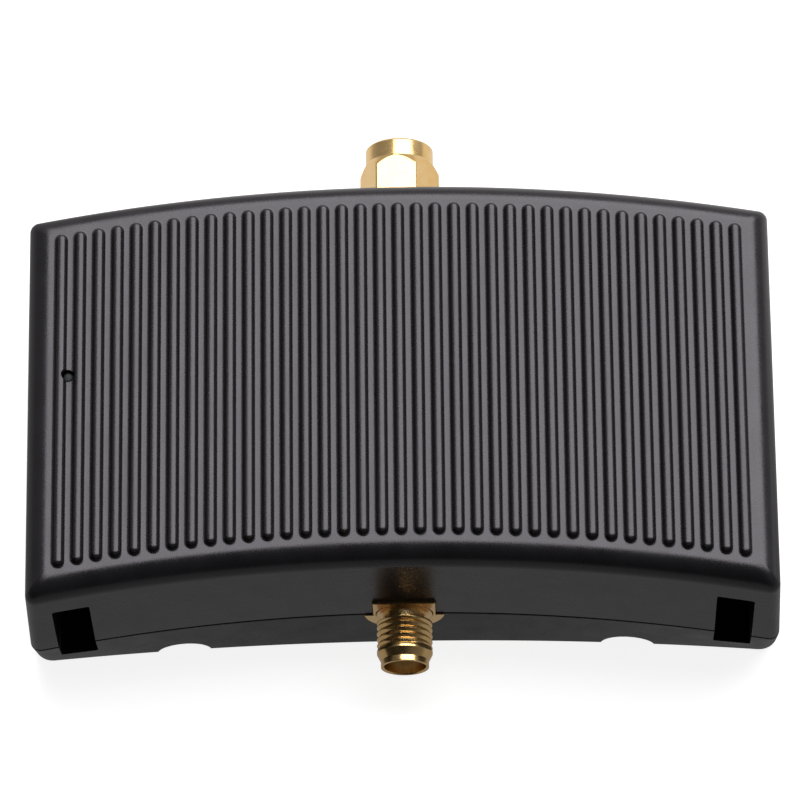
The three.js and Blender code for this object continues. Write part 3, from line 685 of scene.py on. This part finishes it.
def jack_socket():
    """The jack's centre contact: a slotted spring socket on a solder tail."""
    tail, tip = -high("jack_contact")[1], -low("jack_contact")[1]
    thick, bore, half_slit = 0.62, 0.47, 0.06
    profile = [(0, tail), (CONTACT_RADIUS, tail), (CONTACT_RADIUS, FLANGE_BACK)]
    profile += [(thick, FLANGE_BACK), (thick, tip), (0, tip)]
    socket = turned("jack_socket", [(radius, -y) for radius, y in eased(profile, 0.08)], sides=48)
    hole = [(0, tip - 2.6), (bore, tip - 2.6), (bore, tip - 0.1)]
    hole += [(bore + 0.09, tip + 0.05), (0, tip + 0.05)]
    bored(socket, [(radius, -y) for radius, y in hole])
    saw = box_solid("saw", (-half_slit, half_slit), (-tip - 1, -tip + 2.2), (0, 2 * AXIS_Z))
    return combine(socket, "DIFFERENCE", saw)


def plug_pin():
    """The plug's centre pin, with a rounded nose."""
    start, end = low("plug_pin")[1], high("plug_pin")[1]
    face = end - 2.0
    thick, thin = 0.64, 0.46
    profile = [(0, start), (CONTACT_RADIUS, start), (CONTACT_RADIUS, FLANGE_BACK), (thick, FLANGE_BACK)]
    profile += [(thick, face), (thin, face)]
    profile += [(thin, end - 0.45), (0.36, end - 0.15), (0.2, end - 0.03), (0, end)]
    return turned("plug_centre_pin", eased(profile, 0.06), sides=48)


def gasket():
    start, end = low("plug_gasket")[1], high("plug_gasket")[1]
    inner, outer = 2.36, 3.0
    profile = [(inner, start), (outer, start), (outer, end), (inner, end)]
    return turned("gasket_ring", eased(profile, 0.2, closed=True, steps=5), loop=True)


def snap_ring():
    """The open steel ring that holds the coupling nut on the plug."""
    section = ring_section("retaining_ring", 2.27)
    ring = turned("snap_ring", eased(section, 0.1, closed=True), loop=True)
    return combine(ring, "DIFFERENCE", box_solid("gap", (-0.5, 0.5), (20, 30), (0, AXIS_Z)))


def coupling_nut():
    """The free nut of the plug: hexagonal at the back, round at its mouth, threaded inside."""
    back, end = low("coupling_nut")[1], high("coupling_nut")[1]
    ring = middle("retaining_ring")[1]
    corner, waist, mouth = 4.75, 3.9, 3.4
    cone_back, cone_front = end - 3.7, end - 2.1
    blank = [(0, back), (4.2, back), (corner, back + 0.4), (corner, cone_back), (waist, cone_front)]
    blank += [(waist, end - 0.25), (waist - 0.25, end), (0, end)]
    nut = turned("coupling_nut_turned", eased(blank, 0.07))
    combine(nut, "INTERSECT", hexagon("hexagon", back - 1, end + 1))
    neck, groove, room, root = 2.66, 3.08, 2.9, 27.7
    groove_back, groove_front = ring - 0.45, ring + 0.45
    bore = [(0, back - 1), (neck + 0.3, back - 0.1), (neck, back + 0.2), (neck, groove_back)]
    bore += [(groove, groove_back), (groove, groove_front), (neck, groove_front), (neck, root)]
    bore += [(room, root + 0.4), (room, end - 0.7), (mouth, end + 0.05), (0, end + 0.05)]
    thread = threaded("thread", 3.42, 0.3, root + 0.5, end - 0.45, THREAD_PITCH)
    crest = 3.14
    opening = [(0, root + 0.3), (crest, root + 0.5), (crest, end - 0.35)]
    opening += [(mouth, end + 0.05), (0, end + 0.05)]
    throat = turned("throat", opening)
    return combine(bored(nut, bore), "DIFFERENCE", throat, thread)


# ---- power inlet, light pipe and fasteners -----------------------------------------------------------
def power_inlet():
    """The DC jack: a moulded block with a round nose that shows in the back wall."""
    lo, hi = low("power_jack"), high("power_jack")
    nose_face = hi[1]
    block_end, bore_end, radius, hole = 19.0, 10.5, 3.0, 2.0
    corners = [(lo[0], lo[2]), (hi[0], lo[2]), (hi[0], hi[2]), (lo[0], hi[2])]
    section = eased(corners, 0.25, closed=True)
    body = stacked("power_inlet", [[(x, y, z) for x, z in section] for y in (lo[1], block_end)])
    place = about_y(POWER_X, POWER_Z)
    blank = [(0, block_end - 1), (radius, block_end - 1), (radius, nose_face), (0, nose_face)]
    combine(body, "UNION", turned("nose", eased(blank, 0.15), place, 64))
    opening = [(0, bore_end), (hole, bore_end), (hole, nose_face - 0.3), (hole + 0.5, nose_face + 0.2)]
    bore = turned("bore", opening + [(0, nose_face + 0.2)], place, 64)
    x, z = (POWER_X + 1, POWER_X + 2.6), (POWER_Z - 0.7, POWER_Z + 0.7)
    spring = box_solid("spring_room", x, (10.55, 17.6), z)
    return combine(body, "DIFFERENCE", bore, spring)


def power_pin():
    start, end = low("power_jack_pin")[1], high("power_jack_pin")[1]
    radius = 0.65
    profile = [(0, start), (radius, start), (radius, end - 0.3), (radius - 0.2, end - 0.06)]
    profile += [(0.2, end), (0, end)]
    return turned("power_pin", profile, about_y(POWER_X, POWER_Z), 32)


def light_pipe():
    start, end = low("light_pipe")[2], high("light_pipe")[2]
    foot, stem, shoulder = 1.2, 0.62, PIPE_BORE_TOP - 0.4
    profile = [(0, start), (foot, start), (foot, shoulder), (stem, shoulder), (stem, end - 0.3)]
    profile += [(0.45, end - 0.08), (0, end)]
    return turned("light_guide", eased(profile, 0.1), about_z(LED_X, LED_Y), 48)


def screw(node):
    """A pan-head screw with a cross recess and a thread, standing where its CAD node stands."""
    lo, hi = low(node), high(node)
    x, y = (lo[0] + hi[0]) / 2, (lo[1] + hi[1]) / 2
    head = (hi[0] - lo[0]) / 2
    driven_from_below = node in CASE_SCREWS
    height, shank, pitch = (1.8, 1.0, 0.8) if driven_from_below else (1.4, 0.8, 0.6)
    face, way, tip = (lo[2], 1, hi[2]) if driven_from_below else (hi[2], -1, lo[2])
    seat = face + way * height
    root = shank * 0.72
    profile = [(0, face), (head * 0.62, face), (head * 0.93, face + way * height * 0.22)]
    profile += [(head, face + way * height * 0.6), (head, seat), (root, seat)]
    profile += [(root, tip - way * 1.0), (0, tip)]
    place = about_z(x, y)
    piece = turned(f"{node}_turned", eased(profile, 0.12), place, 48)
    start, end = sorted([seat + way * 0.2, tip - way * 0.9])
    thread = threaded("thread", shank, shank * 0.25, start, end, pitch, place, sides=24, steps=6)
    combine(piece, "UNION", thread)
    cuts = []
    for long_x in (True, False):
        rings = []
        for depth, arm, half in ((-0.1, 0.58, 0.3), (0.8, 0.26, 0.17)):
            a, b = (head * arm, half) if long_x else (half, head * arm)
            z = face + way * depth
            rings.append([(x - a, y - b, z), (x + a, y - b, z), (x + a, y + b, z), (x - a, y + b, z)])
        cuts.append(stacked("recess", rings))
    return combine(piece, "DIFFERENCE", *cuts)


# ---- materials ---------------------------------------------------------------------------------------
def add(tree, kind, inputs=None, **settings):
    """A shader node. An input is a value or another node's output."""
    node = tree.nodes.new("ShaderNode" + kind)
    for name, value in settings.items():
        setattr(node, name, value)
    for name, value in (inputs or {}).items():
        if isinstance(value, bpy.types.NodeSocket):
            tree.links.new(value, node.inputs[name])
        else:
            node.inputs[name].default_value = value
    return node


def per_mm(cycles):
    return cycles / MM


def remap(tree, value, low_value, high_value, start=0.3, end=0.7):
    inputs = {"Value": value, "From Min": start, "From Max": end, "To Min": low_value, "To Max": high_value}
    return add(tree, "MapRange", inputs).outputs[0]


def two_tone(tree, factor, first, second):
    node = add(tree, "Mix", data_type="RGBA")
    tree.links.new(factor, node.inputs[0])
    for socket, tone in ((node.inputs[6], first), (node.inputs[7], second)):
        if isinstance(tone, bpy.types.NodeSocket):
            tree.links.new(tone, socket)
        else:
            socket.default_value = (*tone, 1)
    return node.outputs[2]


def lathe_marks(tree, position):
    """A noise that runs round the connectors' axis, as tool marks do on a turned part."""
    parts = add(tree, "SeparateXYZ", {"Vector": position})
    height = add(tree, "Math", {0: parts.outputs[2], 1: AXIS_Z * MM}, operation="SUBTRACT").outputs[0]
    across = add(tree, "CombineXYZ", {"X": parts.outputs[0], "Z": height}).outputs[0]
    radius = add(tree, "VectorMath", {0: across}, operation="LENGTH").outputs["Value"]
    along = add(tree, "Math", {0: radius, 1: parts.outputs[1]}, operation="ADD").outputs[0]
    inputs = {"W": along, "Scale": per_mm(14), "Detail": 2}
    return add(tree, "TexNoise", inputs, noise_dimensions="1D").outputs[0]


def cloud(tree, position, cycles, detail, roughness):
    """A noise with so many cycles per millimetre."""
    inputs = {"Vector": position, "Scale": per_mm(cycles), "Detail": detail, "Roughness": roughness}
    return add(tree, "TexNoise", inputs).outputs[0]


def surface(name, tones, roughness, metallic=0.0, blotch=0.3, grain=7.0, relief=0.006, edge=0.08, **extra):
    """A procedural finish: two tones and a range of roughness over a soft noise, and a fine relief.

    Blotch and grain are in cycles per millimetre. Relief is in millimetres, and so is edge, the radius
    by which the shading softens the edges.
    """
    material = bpy.data.materials.new(name)
    material.use_nodes = True
    tree = material.node_tree
    shader = tree.nodes["Principled BSDF"]
    position = add(tree, "TexCoord").outputs["Object"]
    soft = cloud(tree, position, blotch, 5, 0.6)
    fine = cloud(tree, position, grain, 3, 0.55)
    height = fine
    if extra.pop("turned", False):
        marks = lathe_marks(tree, position)
        height = add(tree, "Math", {0: marks, 1: height}, operation="ADD").outputs[0]
    tree.links.new(two_tone(tree, remap(tree, soft, 0, 1), *tones), shader.inputs["Base Color"])
    mixed = add(tree, "Math", {0: soft, 1: fine}, operation="ADD").outputs[0]
    tree.links.new(remap(tree, mixed, *roughness, 0.75, 1.25), shader.inputs["Roughness"])
    rounded = add(tree, "Bevel", {"Radius": edge * MM}, samples=4).outputs[0]
    bump = add(tree, "Bump", {"Height": height, "Strength": 1, "Distance": relief * MM, "Normal": rounded})
    tree.links.new(bump.outputs[0], shader.inputs["Normal"])
    shader.inputs["Metallic"].default_value = metallic
    for socket, value in extra.items():
        shader.inputs[socket.replace("_", " ")].default_value = value
    return material


def board_surface():
    """Green solder mask with faint copper tracks under it."""
    green = ((0.010, 0.085, 0.030), (0.018, 0.120, 0.045))
    material = surface("board_mask", green, (0.30, 0.42), grain=4, relief=0.004)
    tree = material.node_tree
    shader = tree.nodes["Principled BSDF"]
    position = add(tree, "TexCoord").outputs["Object"]
    tracks = add(tree, "TexBrick", {"Vector": position, "Scale": per_mm(0.25), "Mortar Size": 0.06})
    mask = shader.inputs["Base Color"].links[0].from_socket
    tone = two_tone(tree, tracks.outputs["Fac"], mask, (0.03, 0.17, 0.07))
    tree.links.new(tone, shader.inputs["Base Color"])
    return material


LOOKS = {
    "cover_black": surface(
        "cover_cast", ((0.0085, 0.0080, 0.0090), (0.0120, 0.0110, 0.0125)), (0.24, 0.34),
        blotch=0.25, grain=6, relief=0.006, edge=0.1, Specular_Tint=(1.0, 0.955, 1.03, 1),
    ),
    "base_black": surface(
        "base_moulded", ((0.010, 0.0095, 0.0105), (0.014, 0.013, 0.0145)), (0.36, 0.48),
        blotch=0.3, grain=5, relief=0.010, edge=0.1, Specular_Tint=(1.0, 0.955, 1.03, 1),
    ),
    "gold_plate": surface(
        "gold_plating", ((0.80, 0.52, 0.20), (0.88, 0.62, 0.29)), (0.16, 0.30),
        metallic=1, blotch=0.6, grain=9, relief=0.0025, edge=0.05, turned=True,
    ),
    "ptfe": surface(
        "ptfe_white", ((0.80, 0.79, 0.74), (0.88, 0.87, 0.83)), (0.38, 0.5), relief=0.004,
    ),
    "gasket": surface(
        "gasket_rubber", ((0.36, 0.06, 0.025), (0.45, 0.09, 0.035)), (0.55, 0.7), relief=0.01,
    ),
    "board": board_surface(),
    "chip_black": surface(
        "chip_epoxy", ((0.012, 0.012, 0.013), (0.020, 0.020, 0.021)), (0.45, 0.6), relief=0.01,
    ),
    "tin": surface(
        "tin_plate", ((0.60, 0.60, 0.59), (0.70, 0.70, 0.68)), (0.25, 0.4), metallic=1, relief=0.004,
    ),
    "steel": surface(
        "steel_zinc", ((0.42, 0.43, 0.44), (0.54, 0.54, 0.54)), (0.28, 0.42), metallic=1, relief=0.004,
    ),
    "thermal_pad": surface(
        "thermal_gel", ((0.22, 0.30, 0.36), (0.28, 0.36, 0.42)), (0.7, 0.85), relief=0.02,
    ),
    "filter_body": surface(
        "filter_ceramic", ((0.50, 0.42, 0.28), (0.60, 0.50, 0.34)), (0.5, 0.65), relief=0.01,
    ),
    "clear": surface(
        "smoked_acrylic", ((0.045, 0.048, 0.050), (0.06, 0.064, 0.066)), (0.5, 0.65),
        relief=0.002, Transmission_Weight=0.5, IOR=1.35,
    ),
}


def smooth(piece, crease=math.radians(28)):
    """Smooth shading that keeps the edges sharper than crease."""
    bm = bmesh.new()
    bm.from_mesh(piece.data)
    bmesh.ops.remove_doubles(bm, verts=bm.verts, dist=WELD / 10)
    for face in bm.faces:
        face.smooth = True
    for edge in bm.edges:
        edge.smooth = edge.is_manifold and edge.calc_face_angle(0) < crease
    bm.to_mesh(piece.data)
    bm.free()
    weighted = piece.modifiers.new("normals", "WEIGHTED_NORMAL")
    weighted.keep_sharp = True


def finish(piece, look, *nodes, body="case"):
    """Shades the piece, gives it its look, and puts it on its body in place of the CAD nodes."""
    smooth(piece)
    piece.data.name = piece.name
    piece.data.materials.clear()
    piece.data.materials.append(LOOKS[look])
    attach(piece, body)
    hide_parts(*nodes)


def kept_nodes():
    """CAD nodes inside the case keep their shape and get their slot's procedural look."""
    slots = {
        "circuit_board": "board",
        "power_jack_spring": "tin",
        "status_led": "clear",
        "duplexer_front": "filter_body",
        "duplexer_back": "filter_body",
        "control_chip": "chip_black",
        "voltage_regulator": "chip_black",
        "power_inductor": "chip_black",
        "input_capacitor": "tin",
        "output_capacitor": "tin",
    }
    for band in ("uplink", "downlink"):
        slots[f"power_amplifier_{band}"] = "chip_black"
        slots[f"thermal_pad_{band}"] = "thermal_pad"
        slots[f"shield_can_{band}"] = "tin"
        slots[f"gain_stage_{band}"] = "chip_black"
    for name, slot in slots.items():
        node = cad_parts[name]
        node.data.materials.clear()
        node.data.materials.append(LOOKS[slot])


# ---- stage -------------------------------------------------------------------------------------------
CAMERA_ELEVATION = math.radians(68.474)
CAMERA_TURN = math.radians(2.239)
CAMERA_ROLL = math.radians(-3.042)
CAMERA_DISTANCE = 642.93
CAMERA_LENS = 255.0
CAMERA_TARGET = Vector((-0.188, 1.108, 12.0)) * MM
SENSOR = 36.0

# How brightly the floor shows to the eye, and to reflections in front of, behind and beside the case; to
# reflections it is painted bounce light, with painted shade in front and beside.
FLOOR_GAP = 0.02
FLOOR_GLOW = 0.87
BOUNCE_IN_FRONT = 0.31
BOUNCE_BEHIND = 0.55
BOUNCE_BESIDE = 0.15
# The room's least and greatest brightness, towards the back and towards the right.
ROOM_BEHIND = (0.02, 0.48)
ROOM_BESIDE = (0.0, 0.16)
# The floor's half size and the softbox's place and size, in metres.
FLOOR_HALF = 6.0
LIGHT_PLACE = (0.33, 0.80, 1.0)
LIGHT_AIM = (0.33, 0.80, 0.0)
LIGHT_WIDTH = 1.25
LIGHT_DEPTH = 1.45
LIGHT_RADIANCE = 4.5


def camera():
    back = Vector((
        math.sin(CAMERA_TURN) * math.cos(CAMERA_ELEVATION),
        -math.cos(CAMERA_TURN) * math.cos(CAMERA_ELEVATION),
        math.sin(CAMERA_ELEVATION),
    ))
    data = bpy.data.cameras.new("camera")
    data.sensor_width = SENSOR
    data.lens = CAMERA_LENS
    data.clip_start = 0.01
    holder = bpy.data.objects.new("camera", data)
    bpy.context.scene.collection.objects.link(holder)
    holder.rotation_mode = "QUATERNION"
    holder.location = CAMERA_TARGET + back * CAMERA_DISTANCE * MM
    level = (-back).to_track_quat("-Z", "Y")
    holder.rotation_quaternion = level @ Quaternion((0, 0, 1), CAMERA_ROLL)
    bpy.context.scene.camera = holder


def seen_from_above(tree):
    """1 where the scene is looked at from above the floor, and 0 where it is looked at from below."""
    spaces = {"vector_type": "POINT", "convert_from": "CAMERA", "convert_to": "WORLD"}
    place = add(tree, "VectorTransform", {"Vector": (0, 0, 0)}, **spaces)
    height = add(tree, "SeparateXYZ", {"Vector": place.outputs[0]}).outputs[2]
    return add(tree, "Math", {0: height, 1: -0.002}, operation="GREATER_THAN").outputs[0]


def floor():
    """A plain pale floor, absent when seen from below. To reflections it glows as painted bounce light,
    darker than to the eye, with painted shade in front of the case and to its left.
    """
    half = FLOOR_HALF
    points = [(-half, -half), (half, -half), (half, half), (-half, half)]
    mesh = bpy.data.meshes.new("floor")
    mesh.from_pydata([(x, y, -FLOOR_GAP * MM) for x, y in points], [], [(0, 1, 2, 3)])
    plane = bpy.data.objects.new("floor", mesh)
    bpy.context.scene.collection.objects.link(plane)
    material = bpy.data.materials.new("floor_paper")
    material.use_nodes = True
    tree = material.node_tree
    shader = tree.nodes["Principled BSDF"]
    position = add(tree, "TexCoord").outputs["Object"]
    fibre = add(tree, "TexNoise", {"Vector": position, "Scale": 900, "Detail": 3})
    paper = two_tone(tree, remap(tree, fibre.outputs[0], 0, 1), (0.44, 0.44, 0.44), (0.46, 0.46, 0.46))
    tree.links.new(paper, shader.inputs["Base Color"])
    shader.inputs["Roughness"].default_value = 0.9
    shader.inputs["Specular IOR Level"].default_value = 0
    shader.inputs["Emission Color"].default_value = (1, 1, 1, 1)
    shader.inputs["Emission Strength"].default_value = FLOOR_GLOW
    # Painted light: the floor glows to reflections, brighter behind the case and to its right, and dimmer
    # in front and to the left as painted shade.
    parts = add(tree, "SeparateXYZ", {"Vector": position})
    behind = remap(tree, parts.outputs[1], 0.0, BOUNCE_BEHIND, -0.01, 0.035)
    beside = remap(tree, parts.outputs[0], BOUNCE_BESIDE, 1.0, -0.05, -0.02)
    shares = {0: behind, 1: beside, 2: BOUNCE_IN_FRONT}
    strength = add(tree, "Math", shares, operation="MULTIPLY_ADD").outputs[0]
    painted_bounce_glow = add(tree, "Emission", {"Color": (1, 0.98, 0.97, 1), "Strength": strength})
    seen = add(tree, "LightPath").outputs["Is Camera Ray"]
    either = add(tree, "MixShader", {0: seen, 1: painted_bounce_glow.outputs[0], 2: shader.outputs[0]})
    clear = add(tree, "BsdfTransparent")
    mix = add(tree, "MixShader", {0: seen_from_above(tree), 1: clear.outputs[0], 2: either.outputs[0]})
    tree.links.new(mix.outputs[0], tree.nodes["Material Output"].inputs["Surface"])
    mesh.materials.append(material)


def soft_light(name, centre, aim, width, depth, radiance):
    """A rectangular softbox that faces aim. Its power follows from its radiance and size."""
    data = bpy.data.lights.new(name, "AREA")
    data.shape = "RECTANGLE"
    data.size = width
    data.size_y = depth
    data.energy = radiance * math.pi * width * depth
    lamp = bpy.data.objects.new(name, data)
    bpy.context.scene.collection.objects.link(lamp)
    lamp.rotation_mode = "QUATERNION"
    lamp.location = centre
    lamp.rotation_quaternion = (Vector(aim) - Vector(centre)).to_track_quat("-Z", "Y")


def studio():
    """One large soft light overhead, and a dim room that is brighter at the back and the right."""
    soft_light("overhead", LIGHT_PLACE, LIGHT_AIM, LIGHT_WIDTH, LIGHT_DEPTH, LIGHT_RADIANCE)
    world = bpy.data.worlds.new("room")
    world.use_nodes = True
    tree = world.node_tree
    background = tree.nodes["Background"]
    heading = add(tree, "TexCoord").outputs["Generated"]
    parts = add(tree, "SeparateXYZ", {"Vector": heading})
    back = remap(tree, parts.outputs[1], *ROOM_BEHIND, 0.0, 0.8)
    right = remap(tree, parts.outputs[0], *ROOM_BESIDE, 0.0, 1.0)
    level = add(tree, "Math", {0: back, 1: right}, operation="ADD").outputs[0]
    tree.links.new(level, background.inputs["Strength"])
    background.inputs["Color"].default_value = (1.0, 0.99, 1.0, 1)
    bpy.context.scene.world = world
    settings = bpy.context.scene.view_settings
    settings.view_transform = "Standard"
    settings.look = "None"


# ---- assembly ----------------------------------------------------------------------------------------
finish(cover_shell(), "cover_black", "top_cover")
finish(base_shell(), "base_black", "bottom_cover")
finish(jack_barrel(), "gold_plate", "jack_body")
finish(collar(), "gold_plate", "jack_collar")
finish(insulator("jack_insulator", "jack_dielectric"), "ptfe", "jack_insulator")
finish(jack_socket(), "gold_plate", "jack_contact")
finish(plug_sleeve(), "gold_plate", "plug_body")
finish(panel_nut(), "gold_plate", "plug_nut")
finish(panel_washer(), "gold_plate", "plug_washer")
finish(insulator("plug_insulator", "plug_dielectric"), "ptfe", "plug_insulator")
finish(plug_pin(), "gold_plate", "plug_pin")
finish(gasket(), "gasket", "plug_gasket")
finish(snap_ring(), "steel", "retaining_ring")
finish(coupling_nut(), "gold_plate", "coupling_nut", body="coupling_nut")
finish(power_inlet(), "chip_black", "power_jack")
finish(power_pin(), "tin", "power_jack_pin")
finish(light_pipe(), "clear", "light_pipe")
for screw_node in CASE_SCREWS + BOARD_SCREWS:
    finish(screw(screw_node), "steel", screw_node)
kept_nodes()
floor()
studio()
camera()
